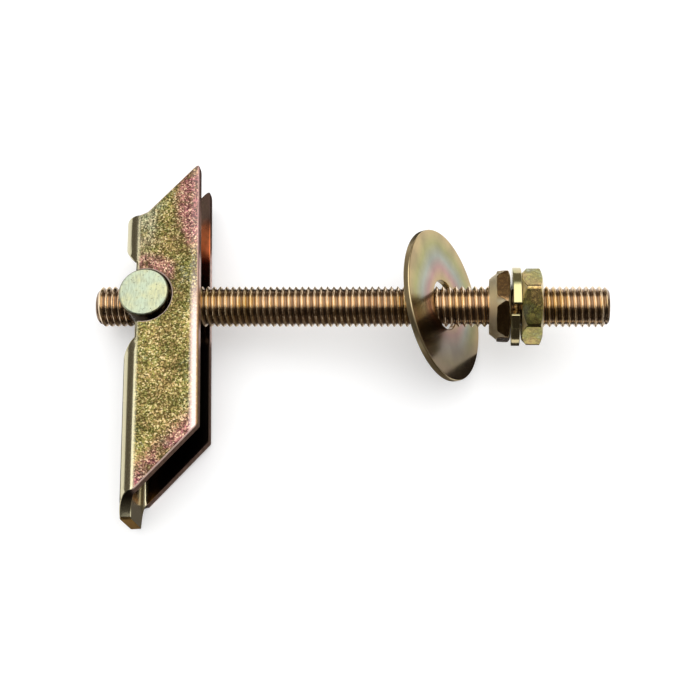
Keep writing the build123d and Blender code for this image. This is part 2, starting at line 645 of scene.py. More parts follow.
    def surface(self, graph: Graph, place: Wire) -> Surface:
        """Work out the look of the sheet: speckled flanges, smooth bends and painted shade inside.

        Args:
            graph: Tree to build in.
            place: Position in millimetres, in the piece's own axes.

        Returns:
            Its colour, gloss and relief.
        """
        across = graph.axis(place, Axis.X)
        along = graph.axis(place, Axis.Y)
        high = graph.axis(place, Axis.Z).size()
        facing = graph.normal(Axis.Z).size()
        lower = along.step(*self.long_half)
        # Beside the free edge: burnished, and painted pale as a highlight.
        strip = across.step(*self.strip_from) * across.step(*self.strip_to)
        rim = across.step(*self.rim_from)
        bend = across.step(*self.bend_zone)
        on_bend = across.step(*self.cut_bend_zone)
        # Where the web's long end gets its painted highlight.
        web_end = high.step(*self.web_end_half) * on_bend * lower
        # Painted shade on the inner faces of the fold, away from the bends.
        inside = high.step(*self.inner_shade_zone) * (1 - bend)
        # Where the painted orange reflection lies, inside the short half.
        glow = along.step(*self.reflection_from) * along.step(*self.reflection_to) * across.step(*self.reflection_across)
        end_face = graph.normal(Axis.Y).size().step(*self.end_facing)
        cut = (end_face + facing.step(*self.cut_facing) * (1 - bend)).clamped()
        # Painted highlight: a pale line along the rolled lips, rosy or brown on the free edge's rim.
        lip = facing.step(*self.lip_from) * facing.step(*self.lip_to) * (1 - bend) * (1 - inside)
        rim_lip_highlight = graph.mix(lower, Tint.ROSY_LIP, Tint.BROWN_LIP)
        layers = (
            (strip * (lower * self.strip_long_share + self.strip_share), Tint.BURNISHED),
            (rim * self.rim_share, graph.mix(lower, Tint.ROSY_RIM, Hue.BROWN)),
            (bend * self.bend_share, Tint.ROLLED_BEND),
            (inside * self.inner_shade_share, self.inner_shade_and_reflection(graph, place, glow)),
            (cut * self.cut_share, self.cut_face(graph, place, on_bend, web_end)),
            (lip * self.lip_highlight_share, graph.mix(rim, Tint.BRIGHT_LIP, rim_lip_highlight)),
        )
        fine = graph.noise(place, self.grain_mm, detail=3.0, rough=0.75)
        colour = self.speckled(graph, place, fine)
        for share, layer in layers:
            colour = graph.mix(share, colour, layer)
        smooth = (strip * self.strip_smoothness + rim + bend + inside + cut).clamped()
        bare_end = 1 - on_bend + web_end * self.web_end_softness
        soft = lip * self.lip_softness + glow * inside + cut * bare_end
        rough = (1 - smooth) * self.speckle_rough + self.roughness + soft * self.soft_rough
        return Surface(colour, rough, fine * (1 - smooth * self.relief_loss), self.relief_mm)


@dataclass(frozen=True)
class PinFinish(PlatedFinish):
    """Turned bar of the trunnion nut, brushed pale on its ends, with painted shade round its side."""

    end_zone: Span = (7.4, 7.6)
    tint_mm: float = 3.0
    tint_zone: Span = (0.35, 0.65)
    streak_mm: float = 0.30
    streak_stretch: Point3 = (1.0, 0.22, 1.0)
    streak_zone: Span = (0.26, 0.60)
    fleck_mm: float = 0.55
    fleck_zone: Span = (0.40, 0.34)
    fleck_share: float = 0.8
    side_shade_level: float = 0.16
    roughness: float = 0.22
    end_rough: float = 0.20
    relief_mm: float = 0.015

    def surface(self, graph: Graph, place: Wire) -> Surface:
        """Work out the look of the bar.

        Args:
            graph: Tree to build in.
            place: Position in millimetres, in the piece's own axes.

        Returns:
            Its colour, gloss and relief.
        """
        on_end = graph.axis(place, Axis.Z).size().step(*self.end_zone)
        brushed = graph.stretched(place, self.streak_stretch)
        streaks = graph.noise(brushed, self.streak_mm, detail=4.0, rough=0.7)
        tint = graph.noise(place, self.tint_mm).step(*self.tint_zone)
        pale = graph.mix(tint, Tint.PALE_GREEN, Tint.PALE_GOLD)
        pale = graph.mix(streaks.step(*self.streak_zone), Tint.STREAK, pale)
        flecks = graph.noise(place, self.fleck_mm, detail=3.0, rough=0.7).step(*self.fleck_zone)
        pale = graph.mix(flecks * self.fleck_share, pale, Tint.FLECK)
        # Painted shade: the side is the film darkened.
        side = graph.scaled(self.film(graph, place), self.side_shade_level)
        colour = graph.mix(on_end, side, pale)
        return Surface(colour, on_end * self.end_rough + self.roughness, streaks, self.relief_mm)


@dataclass(frozen=True)
class WasherFinish(PlatedFinish):
    """Smooth plating of the large washer, its hues in rings, with painted shade on its lower half."""

    outer_mm: float = 15.0
    inner_mm: float = 4.85
    ring_patch_mm: float = 14.0
    ring_drift_mm: float = 4.0
    ring_thickness: float = 0.54
    straw_share: float = 0.20
    dull_mm: float = 5.0
    dull_zone: Span = (0.3, 0.7)
    dull_level: float = 0.52
    dull_drift: float = 0.20
    low_shade_zone: Span = (0.0, -9.0)
    low_shade_loss: float = 0.22
    low_shade_share: float = 0.50
    rim_zone: Span = (14.8, 14.9)
    rim_share: float = 0.8
    mark_mm: float = 0.40
    mark_stretch: Point3 = (1.0, 0.08, 1.0)
    roughness: float = 0.12
    mark_rough: float = 0.06
    rim_rough: float = 0.18
    relief_mm: float = 0.0008

    def surface(self, graph: Graph, place: Wire) -> Surface:
        """Work out the look of the washer: rings of hues, faint rolling marks and painted shade low down.

        Args:
            graph: Tree to build in.
            place: Position in millimetres, in the piece's own axes.

        Returns:
            Its colour, gloss and relief.
        """
        radius = graph.radius(place, Axis.Z)
        shift = (graph.noise(place, self.ring_patch_mm, detail=1.0) - 0.5) * self.ring_drift_mm
        ring = ((radius + shift - self.inner_mm) * (1 / (self.outer_mm - self.inner_mm))).clamped()
        # Painted shade: darker and browner towards the lower edge.
        low = graph.axis(place, Axis.Y).step(*self.low_shade_zone)
        dull = graph.noise(place, self.dull_mm, detail=3.0).step(*self.dull_zone)
        level = dull * self.dull_drift + self.dull_level - low * self.low_shade_loss
        film = self.film(graph, place, ring * self.ring_thickness)
        colour = graph.scaled(graph.mix(self.straw_share, film, Tint.DULL_STRAW), level)
        colour = graph.mix(low * self.low_shade_share, colour, Tint.LOW_BROWN)
        rim = radius.step(*self.rim_zone)
        colour = graph.mix(rim * self.rim_share, colour, Tint.STAMPED_RIM)
        marks = graph.noise(graph.stretched(place, self.mark_stretch), self.mark_mm, detail=1.0)
        rough = marks * self.mark_rough + rim * self.rim_rough + self.roughness
        return Surface(colour, rough, marks, self.relief_mm)


@dataclass(frozen=True)
class ThreadFinish(PlatedFinish):
    """Plating of the rolled thread, with painted shade down in the roots."""

    flank_zone: Span = (3.4, 3.9)
    root_shade_share: float = 0.85
    grain_mm: float = 0.22
    grain_stretch: Point3 = (1.0, 0.35, 0.35)
    roughness: float = 0.16
    grain_rough: float = 0.10
    relief_mm: float = 0.005

    def surface(self, graph: Graph, place: Wire) -> Surface:
        """Work out the look of the thread: pale gold flanks and brown painted shade in the roots.

        Args:
            graph: Tree to build in.
            place: Position in millimetres, in the piece's own axes.

        Returns:
            Its colour, gloss and relief.
        """
        flank = graph.radius(place, Axis.X).step(*self.flank_zone)
        # Painted shade: the roots darker brown.
        colour = graph.mix((1 - flank) * self.root_shade_share, self.film(graph, place), Tint.THREAD_ROOT)
        grain = graph.noise(graph.stretched(place, self.grain_stretch), self.grain_mm, detail=3.0)
        return Surface(colour, grain * self.grain_rough + self.roughness, grain, self.relief_mm)


@dataclass(frozen=True)
class NutFinish(PlatedFinish):
    """Plating of the hex nuts: bevels painted pale as a highlight, flats mottled with brown veins."""

    vein_mm: float = 1.0
    vein_sharpness: float = 14.0
    vein_share: float = 0.7
    flat_level: float = 0.82
    bevel_zone: Span = (6.46, 6.36)
    bevel_share: float = 0.9
    roughness: float = 0.12
    vein_rough: float = 0.08
    bevel_rough: float = 0.36
    relief_mm: float = 0.008
    relief_loss: float = 0.8

    def surface(self, graph: Graph, place: Wire) -> Surface:
        """Work out the look of the nut, whose flats face 0, 60 and 120 degrees round the rod.

        Args:
            graph: Tree to build in.
            place: Position in millimetres, in the piece's own axes.

        Returns:
            Its colour, gloss and relief.
        """
        turns = (0.0, math.radians(60), math.radians(120))
        flats = [graph.reach(place, (0.0, math.cos(turn), math.sin(turn))).size() for turn in turns]
        on_bevel = flats[0].larger(flats[1]).larger(flats[2]).step(*self.bevel_zone)
        veins = graph.noise(place, self.vein_mm, detail=4.0, rough=0.7)
        line = (1 - (veins - 0.5).size() * self.vein_sharpness).clamped()
        colour = graph.scaled(self.film(graph, place), self.flat_level)
        colour = graph.mix(line * self.vein_share, colour, Hue.UMBER)
        # Painted highlight: the bevels pale cream.
        colour = graph.mix(on_bevel * self.bevel_share, colour, Tint.BEVEL_CREAM)
        rough = veins * self.vein_rough + on_bevel * self.bevel_rough + self.roughness
        return Surface(colour, rough, veins * (1 - on_bevel * self.relief_loss), self.relief_mm)


class Shell:
    """Points and faces of one piece in its own axes, in millimetres."""

    def __init__(self) -> None:
        """Start with no points."""
        self.points: list[Point3] = []
        self.faces: list[tuple[int, ...]] = []

    def grid(
        self, rows: np.ndarray, shift: int = 0, open_ends: bool = False, open_sides: bool = False
    ) -> None:
        """Add a sheet of quads; unless a side is left open, it closes into rings.

        Args:
            rows: Points in an array of rows by columns by 3.
            shift: How many rows on the last column joins the first, for a screw surface.
            open_ends: Whether the last row stays apart from the first.
            open_sides: Whether the last column stays apart from the first.
        """
        count, width = rows.shape[:2]
        start = len(self.points)
        self.points.extend(map(tuple, rows.reshape(-1, 3)))
        for row in range(count - 1 if open_ends else count):
            for column in range(width - 1 if open_sides else width):
                step = shift if column == width - 1 else 0
                if open_ends and row + 1 + step >= count:
                    continue
                here = start + row * width + column
                below = start + (row + 1) % count * width + column
                side = start + (row + step) % count * width + (column + 1) % width
                corner = start + (row + 1 + step) % count * width + (column + 1) % width
                self.faces.append((here, below, corner, side))

    def cap(self, ring: np.ndarray) -> None:
        """Close a ring with one face.

        Args:
            ring: The ring's points in order.
        """
        start = len(self.points)
        self.points.extend(map(tuple, ring))
        self.faces.append(tuple(range(start, start + len(ring))))

    def mesh(self, name: str) -> bpy.types.Mesh:
        """Turn the shell into a smooth mesh in metres.

        Args:
            name: Name of the mesh.

        Returns:
            The mesh.
        """
        made = bpy.data.meshes.new(name)
        made.from_pydata([Vector(point) * MM for point in self.points], [], self.faces)
        work = bmesh.new()
        work.from_mesh(made)
        bmesh.ops.remove_doubles(work, verts=work.verts, dist=WELD_MM * MM)
        bmesh.ops.dissolve_degenerate(work, edges=work.edges, dist=WELD_MM * MM)
        bmesh.ops.recalc_face_normals(work, faces=work.faces)
        for face in work.faces:
            face.smooth = True
        work.to_mesh(made)
        work.free()
        return made


def softened(corners: list[Point2], radii: list[float], steps: int = 4) -> list[Point2]:
    """Round the corners of a closed outline.

    Args:
        corners: Its corners in order.
        radii: Rounding at each corner; 0 keeps it sharp.
        steps: Segments in each rounding.

    Returns:
        The outline's points; each rounded corner gives steps + 1 of them.
    """
    outline: list[Point2] = []
    for place, (corner, radius) in enumerate(zip(corners, radii)):
        here = Vector(corner)
        if radius <= 0:
            outline.append((here.x, here.y))
            continue
        back = Vector(corners[place - 1]) - here
        ahead = Vector(corners[(place + 1) % len(corners)]) - here
        half = back.angle(ahead) / 2
        reach = min(radius / math.tan(half), back.length / 2, ahead.length / 2)
        first = here + back.normalized() * reach
        last = here + ahead.normalized() * reach
        for step in range(steps + 1):
            share = step / steps
            point = first * (1 - share) ** 2 + here * (2 * share * (1 - share)) + last * share**2
            outline.append((point.x, point.y))
    return outline


def lathed(section: list[Point2], turns: int, about: Axis) -> np.ndarray:
    """Spin a section of (radius, height) points about an axis.

    Args:
        section: Points of the section.
        turns: Number of steps round the axis.
        about: The axis of the piece, X or Z.

    Returns:
        Points in rows, one row for each point of the section.
    """
    angles = np.linspace(0, FULL_TURN, turns, endpoint=False)
    radii = np.array([point[0] for point in section])[:, None]
    heights = np.array([point[1] for point in section])[:, None] * np.ones(turns)
    first, second = radii * np.cos(angles), radii * np.sin(angles)
    order = (heights, first, second) if about is Axis.X else (first, second, heights)
    return np.stack(order, axis=-1)


def inside(point: Any, ring: np.ndarray) -> bool:
    """Tell whether a flat point lies inside a closed ring.

    Args:
        point: The point's two coordinates.
        ring: The ring's points in order.

    Returns:
        Whether a ray from the point crosses the ring an odd number of times.
    """
    ahead = np.roll(ring, -1, axis=0)
    spans = (ring[:, 1] > point[1]) != (ahead[:, 1] > point[1])
    rise = np.where(spans, ahead[:, 1] - ring[:, 1], 1.0)
    crossing = ring[:, 0] + (point[1] - ring[:, 1]) / rise * (ahead[:, 0] - ring[:, 0])
    return bool(np.count_nonzero(spans & (crossing > point[0])) % 2)


def bored(bar: bpy.types.Mesh, drill: bpy.types.Mesh) -> bpy.types.Mesh:
    """Cut one mesh out of another.

    Args:
        bar: The mesh that is kept.
        drill: The mesh that is cut away.

    Returns:
        A new mesh.
    """
    kept = added("bar", bar)
    tool = added("tool", drill)
    cut = kept.modifiers.new("cut", "BOOLEAN")
    cut.operation = "DIFFERENCE"
    cut.solver = "EXACT"
    cut.object = tool
    scene = bpy.context.evaluated_depsgraph_get()
    made = bpy.data.meshes.new_from_object(kept.evaluated_get(scene))
    bpy.data.objects.remove(kept)
    bpy.data.objects.remove(tool)
    made.set_sharp_from_angle(angle=SHARP_EDGE)
    return made


@dataclass(frozen=True)
class Fit:
    """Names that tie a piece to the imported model."""

    piece: str
    node: str
    body: str
    slot: str


@dataclass
class Bench:
    """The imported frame: where the bolt's own axes lie, and how pieces join their bodies."""

    frame: dict[str, Any]
    bolt: Matrix = field(init=False)
    toggle: Matrix = field(init=False)

    def __post_init__(self) -> None:
        """Read the bolt's axes from the joints and the toggle's from its bearing edge."""
        joints = {joint["name"]: joint for joint in self.frame["joints"]}
        mounts = {mount["name"]: mount for mount in self.frame["record"]["mounts"]}
        pivot = Vector(joints["toggle_swing"]["pos_m"])
        near = -Vector(joints["toggle_swing"]["axis"])
        self.bolt = self._axes(Vector(joints["trunnion_travel"]["axis"]), near, pivot)
        self.toggle = self._axes(Vector(mounts["front_bearing_edge"]["axis"]), near, pivot)

    @staticmethod
    def _axes(along: Vector, near: Vector, origin: Vector) -> Matrix:
        """Build a placement from an X and a Z direction.

        Args:
            along: The X direction.
            near: The Z direction.
            origin: Where the axes meet.

        Returns:
            The placement in the row frame.
        """
        side = near.cross(along).normalized()
        turned = Matrix((along.normalized(), side, near.normalized())).transposed().to_4x4()
        return Matrix.Translation(origin) @ turned

    def span(self, node: str) -> tuple[float, float]:
        """Measure a CAD node along the rod.

        Args:
            node: The node's name.

        Returns:
            Where it starts and where it ends, in millimetres from the pivot.
        """
        inverse = self.bolt.inverted()
        places = [(inverse @ point.co).x for point in self.frame["nodes"][node].data.vertices]
        return min(places) / MM, max(places) / MM

    def start_of(self, node: str) -> Matrix:
        """Return the bolt's axes, moved along the rod to where a CAD node starts."""
        return self.bolt @ Matrix.Translation((self.span(node)[0] * MM, 0, 0))

    @staticmethod
    def seat(mesh: bpy.types.Mesh, place: Matrix, fit: Fit, look: PlatedFinish) -> None:
        """Put a piece in its place and on its body.

        Args:
            mesh: The piece's mesh.
            place: Placement of its axes in the row frame.
            fit: Which body and node it belongs to, and the piece's name.
            look: Its finish.
        """
        piece = added(fit.piece, mesh)
        piece.matrix_world = place
        mesh.materials.append(look.material())
        even = piece.modifiers.new("even_light", "WEIGHTED_NORMAL")
        even.keep_sharp = False
        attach(piece, fit.body)
        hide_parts(fit.node)
        LOG.info("%s: %d faces on %s", fit.piece, len(mesh.polygons), fit.body)


class Part(Protocol):
    """A piece of the bolt that can be built and seated."""

    fit: Fit

    def dress(self, bench: Bench) -> None:
        """Build the piece and seat it on its body."""


@dataclass
class ThreadedRod:
    """M8 rod with a rolled right-hand thread and chamfered ends."""

    radius: float = 4.0
    pitch: float = 1.25
    root_radius: float = 3.4
    crest_share: float = 0.13
    flank_share: float = 0.34
    softness: float = 0.16
    chamfer: float = 0.9
    columns: int = 60
    samples: tuple[float, ...] = (0.0, 0.05, 0.09, 0.2, 0.31, 0.42, 0.5, 0.58, 0.69, 0.8, 0.91, 0.95)
    fit: Fit = Fit("thread", "threaded_rod", "rod", "rod_zinc")
    look: PlatedFinish = ThreadFinish("rod_plating", patch_mm=6.0, drift=0.16, thickness=0.24)

    def height(self, share: np.ndarray) -> np.ndarray:
        """Work out the thread's section, with soft crests and roots.

        Args:
            share: Place along the thread as a share of the pitch, from the crest's middle.

        Returns:
            The radius there.
        """
        distance = np.abs((share + 0.5) % 1.0 - 0.5)
        rise = 1 - (distance - self.crest_share / 2) / self.flank_share
        rise = (rise + 1 - np.sqrt((rise - 1) ** 2 + self.softness**2)) / 2
        rise = (rise + np.sqrt(rise**2 + self.softness**2)) / 2
        return self.root_radius + (self.radius - self.root_radius) * np.minimum(rise, 1.0)

    def build(self, start: float, end: float) -> bpy.types.Mesh:
        """Cut the thread between two stations along the rod.

        Args:
            start: Where the rod starts.
            end: Where it ends.

        Returns:
            The rod's mesh.
        """
        first = math.floor(start / self.pitch) - 2
        last = math.ceil(end / self.pitch) + 1
        shares = np.array([turn + share for turn in range(first, last) for share in self.samples])
        angles = np.linspace(0, FULL_TURN, self.columns, endpoint=False)
        along = np.clip((shares[:, None] + angles / FULL_TURN) * self.pitch, start, end)
        to_end = np.minimum(along - start, end - along)
        radii = np.minimum(self.height(shares)[:, None], self.radius - self.chamfer + to_end)
        rows = np.stack((along, radii * np.cos(angles), radii * np.sin(angles)), axis=-1)
        shell = Shell()
        shell.grid(rows, shift=len(self.samples), open_ends=True)
        shell.cap(rows[0])
        shell.cap(rows[-1])
        return shell.mesh("threaded_rod")

    def dress(self, bench: Bench) -> None:
        """Cut and seat the rod."""
        bench.seat(self.build(*bench.span(self.fit.node)), bench.bolt, self.fit, self.look)


@dataclass
class TrunnionNut:
    """Round bar across the channel, bored for the rod."""

    radius: float = 4.95
    length: float = 15.4
    edge: float = 0.35
    edge_roll: float = 0.12
    bore: float = 4.05
    drill_reach: float = 1.5
    columns: int = 96
    bore_columns: int = 72
    fit: Fit = Fit("trunnion_pin", "trunnion_nut", "trunnion", "trunnion_zinc")
    look: PlatedFinish = PinFinish("trunnion_plating", patch_mm=3.0, drift=0.20, thickness=0.34)

    def build(self) -> bpy.types.Mesh:
        """Turn the bar and bore it across.

        Returns:
            The bar's mesh.
        """
        half = self.length / 2
        face = self.radius - self.edge
        corners = [
            (0.0, -half),
            (face, -half),
            (self.radius, self.edge - half),
            (self.radius, half - self.edge),
            (face, half),
            (0.0, half),
        ]
        section = softened(corners, [0, *[self.edge_roll] * 4, 0])
        bar = Shell()
        bar.grid(lathed(section, self.columns, Axis.Z), open_ends=True)
        across = self.drill_reach * self.radius
        hole = [(0.0, -across), (self.bore, -across), (self.bore, across), (0.0, across)]
        drill = Shell()
        drill.grid(lathed(hole, self.bore_columns, Axis.X), open_ends=True)
        return bored(bar.mesh("trunnion_nut"), drill.mesh("drill"))

    def dress(self, bench: Bench) -> None:
        """Turn and seat the bar."""
        bench.seat(self.build(), bench.bolt, self.fit, self.look)


@dataclass
class ToggleChannel:
    """Sheet blank with a window and two seats, folded into a channel.

    The blank is drawn on the developed sheet: stations run across it from the front free edge,
    y along the channel.
    """

    # Sizes of the channel; lengths along it are measured from the pivot.
    sheet: float = 2.2
    width: float = 13.9
    depth: float = 15.0
    bend: float = 3.0
    free_edge: float = 10.7
    short_half: float = 28.0
    long_half: float = 27.2
    seat_radius: float = 5.4
    seat_drop: float = 0.39
    window_radius: float = 7.25
    window_short: float = 4.4
    window_long: float = 6.8
    window_depth: float = 2.5
    short_cut_run: float = 10.4
    web_short_end: float = 16.0
    web_long_end: float = 43.9
    # Rounding of the blank's corners and of the sheet's two edges.
    corner_round: float = 0.7
    outer_roll: float = 0.32
    inner_roll: float = 0.18
    # Steps round each curve, how close points may come, and the limit of the mitre.
    roll_steps: int = 5
    bend_steps: int = 14
    seat_steps: int = 24
    web_steps: int = 16
    hairline: float = 0.001
    closest: float = 0.01
    sharpest: float = 0.35
    # Points spread over the bends.
    lattice_from: float = -45.0
    lattice_to: float = 30.0
    lattice_step: float = 1.1
    lattice_clear: float = 0.3
    # Where the folds lie, across the channel and on the developed sheet.
    web: float = field(init=False)
    tangent: float = field(init=False)
    mid: float = field(init=False)
    flange: float = field(init=False)
    arc: float = field(init=False)
    back: float = field(init=False)
    length: float = field(init=False)
    short_fold_end: float = field(init=False)
    long_fold_end: float = field(init=False)
    fit: Fit = Fit("folded_channel", "toggle_channel", "toggle", "channel_zinc")
    look: PlatedFinish = SheetFinish("channel_plating", patch_mm=7.0, drift=0.17, thickness=0.775)

    def __post_init__(self) -> None:
        """Work out the fold's stations along the developed sheet."""
        self.web = self.free_edge - self.depth
        self.tangent = self.web + self.bend
        self.mid = self.bend - self.sheet / 2
        self.flange = self.free_edge - self.tangent
        self.arc = self.mid * math.pi / 2
        self.back = self.width - 2 * self.bend
        self.length = 2 * self.flange + 2 * self.arc + self.back
        self.short_fold_end = self.web_short_end + self.bend / 3
        self.long_fold_end = self.long_half + self.flange

    def fold(self, station: float) -> tuple[Vector, Vector]:
        """Find a point of the folded sheet.

        Args:
            station: Distance along the developed sheet from its front free edge.

        Returns:
            The point on the middle of the sheet and the outward normal, both as (x, z).
        """
        mirror = 1.0
        if station > self.length / 2:
            station, mirror = self.length - station, -1.0
        half = self.width / 2
        if station <= self.flange:
            point, normal = Vector((self.free_edge - station, half - self.sheet / 2)), Vector((0, 1))
        elif station < self.flange + self.arc:
            angle = (station - self.flange) / self.mid
            normal = Vector((-math.sin(angle), math.cos(angle)))
            point = Vector((self.tangent, half - self.bend)) + normal * self.mid
        else:
            below = station - self.flange - self.arc
            point, normal = Vector((self.web + self.sheet / 2, half - self.bend - below)), Vector((-1, 0))
        return Vector((point.x, point.y * mirror)), Vector((normal.x, normal.y * mirror))

    def stations(self) -> list[float]:
        """Return stations from one free edge to the other, close together in the bends."""
        bend = [self.flange + self.arc * step / self.bend_steps for step in range(self.bend_steps + 1)]
        return [0.0, *bend, *[self.length - station for station in reversed(bend)], self.length]

    def outside(self, station: float) -> Vector:
        """Return the point on the sheet's outer face, as (x, z)."""
        point, normal = self.fold(station)
        return point + normal * (self.sheet / 2)

    def station(self, x: float) -> float:
        """Find where the outer face of the front flange or its bend stands.

        Args:
            x: How far it stands across from the pivot.

        Returns:
            Its station.
        """
        if x >= self.tangent:
            return self.free_edge - x
        return self.flange + self.mid * math.asin((self.tangent - x) / self.bend)

    def ends(self, station: float) -> tuple[float, float]:
        """Find where the sheet ends: slanted on the flanges and drawn out round the bends.

        Args:
            station: Distance along the developed sheet.

        Returns:
            The y of its long end and of its short end.
        """
        setback = min(station, self.length - station)
        drawn = min(max((self.width / 2 - abs(self.outside(station).y)) / self.bend, 0.0), 1.0)
        if setback <= self.short_cut_run:
            return -self.long_half - setback, self.short_half - setback
        kink = self.short_half - self.short_cut_run
        if setback <= self.flange:
            share = (setback - self.short_cut_run) / (self.flange - self.short_cut_run)
            return -self.long_half - setback, kink + (self.short_fold_end - kink) * share
        low = -self.long_fold_end - (self.web_long_end - self.long_fold_end) * drawn
        return low, self.short_fold_end + (self.web_short_end - self.short_fold_end) * drawn

    def blank(self) -> list[Point2]:
        """Draw the blank's outline, its four free corners rounded.

        Returns:
            The outline as (station, y) points.
        """
        stations = self.stations()
        kinks = [self.short_cut_run, self.length - self.short_cut_run]
        along = sorted([*stations, *kinks])
        top = [(station, self.ends(station)[1]) for station in along]
        bottom = [(station, self.ends(station)[0]) for station in stations]
        corners = bottom + top[::-1]
        sharp = (0, len(bottom) - 1, len(bottom), len(corners) - 1)
        radii = [self.corner_round if place in sharp else 0.0 for place in range(len(corners))]
        return softened(corners, radii)

    def hole(self) -> list[Point2]:
        """Draw the opening: the window across the web and the two seats that it runs into.

        Returns:
            The outline as (station, y) points.
        """
        reach = self.web + self.window_depth
        leave = math.acos(reach / self.seat_radius)
        front = self.station(reach)
        upper: list[Point2] = []
        lower: list[Point2] = []
        for step in range(self.seat_steps + 1):
            angle = leave * step / self.seat_steps
            station = self.station(self.seat_radius * math.cos(angle))
            rise = self.seat_radius * math.sin(angle)
            upper.append((station, rise - self.seat_drop))
            lower.append((station, -rise - self.seat_drop))
        inner = [station for station in self.stations() if front < station < self.length / 2]
        web = self.flange + self.arc
        flat = [web + self.back * step / self.web_steps for step in range(1, self.web_steps // 2)]
        for station in [front + self.hairline, *inner, *flat]:
            rise = math.sqrt(self.window_radius**2 - self.outside(station).y ** 2)
            upper.append((station, self.window_short + rise))
            lower.append((station, -self.window_long - rise))
        half = upper + [(self.length - station, y) for station, y in reversed(upper)]
        other = lower + [(self.length - station, y) for station, y in reversed(lower)]
        ring = half + other[::-1]
        kept = [ring[0]]
        for point in ring[1:]:
            if min(math.dist(point, kept[-1]), math.dist(point, kept[0])) > self.closest:
                kept.append(point)
        return kept

    def inset(self, outline: np.ndarray) -> np.ndarray:
        """Work out for each corner of an outline the mitred move that insets it by one.

        Args:
            outline: Points of a closed outline, counter-clockwise round the sheet.

        Returns:
            The moves towards the sheet.
        """
        ahead = np.roll(outline, -1, axis=0) - outline
        ahead /= np.linalg.norm(ahead, axis=1)[:, None]
        behind = np.roll(ahead, 1, axis=0)
        left = np.stack((-ahead[:, 1], ahead[:, 0]), axis=1)
        left_behind = np.stack((-behind[:, 1], behind[:, 0]), axis=1)
        move = left + left_behind
        move /= np.maximum(np.sum(move * left, axis=1), self.sharpest)[:, None]
        return move

    def levels(self) -> list[Point2]:
        """Roll the sheet's edge.

        Returns:
            The edge's levels from the outer face to the inner one: how far each stands in from
            the cut, and its height above the sheet's middle.
        """
        half = self.sheet / 2
        angles = [math.pi / 2 * step / self.roll_steps for step in range(self.roll_steps + 1)]
        quarters = [
            [
                (roll * (1 - math.sin(angle)), side * (half - roll * (1 - math.cos(angle))))
                for angle in angles
            ]
            for side, roll in ((1, self.outer_roll), (-1, self.inner_roll))
        ]
        return quarters[0] + quarters[1][::-1]

    def build(self) -> bpy.types.Mesh:
        """Cut the blank, roll its edges and fold it.

        Returns:
            The channel's mesh.
        """
        loops = (self.wound(self.blank(), 1), self.wound(self.hole(), -1))
        levels = self.levels()
        shell = Shell()
        starts = []
        for loop in loops:
            move = self.inset(loop)
            rows = [
                [self.folded(point, height) for point in loop + move * inwards]
                for inwards, height in levels
            ]
            first = len(shell.points)
            starts.append((first, first + (len(levels) - 1) * len(loop)))
            shell.grid(np.array(rows), open_ends=True)
        for rims, level in zip(zip(*starts), (levels[0], levels[-1])):
            self.fill(shell, loops, rims, level)
        return shell.mesh("toggle_channel")

    @staticmethod
    def wound(outline: list[Point2], way: int) -> np.ndarray:
        """Wind an outline one way round.

        Args:
            outline: Its points in order.
            way: 1 for counter-clockwise, -1 for clockwise.

        Returns:
            The points, turned about where they ran the other way.
        """
        points = np.array(outline)
        ahead = np.roll(points, -1, axis=0)
        area = np.sum(points[:, 0] * ahead[:, 1] - points[:, 1] * ahead[:, 0])
        return points if area * way > 0 else points[::-1]

    def folded(self, point: np.ndarray, height: float) -> Point3:
        """Fold one point of the blank.

        Args:
            point: Its station and y.
            height: How far it stands above the sheet's middle.

        Returns:
            The point in the channel's axes.
        """
        middle, normal = self.fold(float(point[0]))
        spot = middle + normal * height
        return (spot.x, float(point[1]), spot.y)

    def fill(
        self,
        shell: Shell,
        loops: tuple[np.ndarray, np.ndarray],
        rims: tuple[int, int],
        level: Point2,
    ) -> None:
        """Fill one side of the sheet between its outline and its hole.

        Args:
            shell: Shell to add to.
            loops: The outline and the hole.
            rims: Index of the first rim point of each loop.
            level: How far the face stands in from the cut, and its height above the middle.
        """
        inwards, height = level
        flat: list[Vector] = []
        known: list[int] = []
        edges: list[tuple[int, int]] = []
        rings = [loop + self.inset(loop) * inwards for loop in loops]
        for ring, start in zip(rings, rims):
            first, count = len(flat), len(ring)
            flat.extend(Vector(point) for point in ring)
            known.extend(range(start, start + count))
            edges.extend((first + place, first + (place + 1) % count) for place in range(count))
        for spot in self.lattice(rings):
            known.append(len(shell.points))
            shell.points.append(self.folded(spot, height))
            flat.append(Vector(spot))
        _, _, faces, origins, _, _ = delaunay_2d_cdt(flat, edges, [], 0, FLAT_TOLERANCE)
        for face in faces:
            corners = [flat[origins[corner][0]] for corner in face]
            centre = sum(corners, Vector((0, 0))) / len(corners)
            if inside(centre, rings[0]) and not inside(centre, rings[1]):
                shell.faces.append(tuple(known[origins[corner][0]] for corner in face))

    def lattice(self, rings: list[np.ndarray]) -> list[np.ndarray]:
        """Spread points over the bends, where the sheet curves.

        Args:
            rings: The face's outline and hole.

        Returns:
            Points inside the face, a little way from its borders.
        """
        spots = []
        border = np.concatenate(rings)
        for station in self.stations()[1:-1]:
            for y in np.arange(self.lattice_from, self.lattice_to, self.lattice_step):
                spot = np.array((station, y))
                clear = np.min(np.hypot(*(border - spot).T)) > self.lattice_clear
                if clear and inside(spot, rings[0]) and not inside(spot, rings[1]):
                    spots.append(spot)
        return spots

    def dress(self, bench: Bench) -> None:
        """Fold and seat the channel."""
        bench.seat(self.build(), bench.toggle, self.fit, self.look)


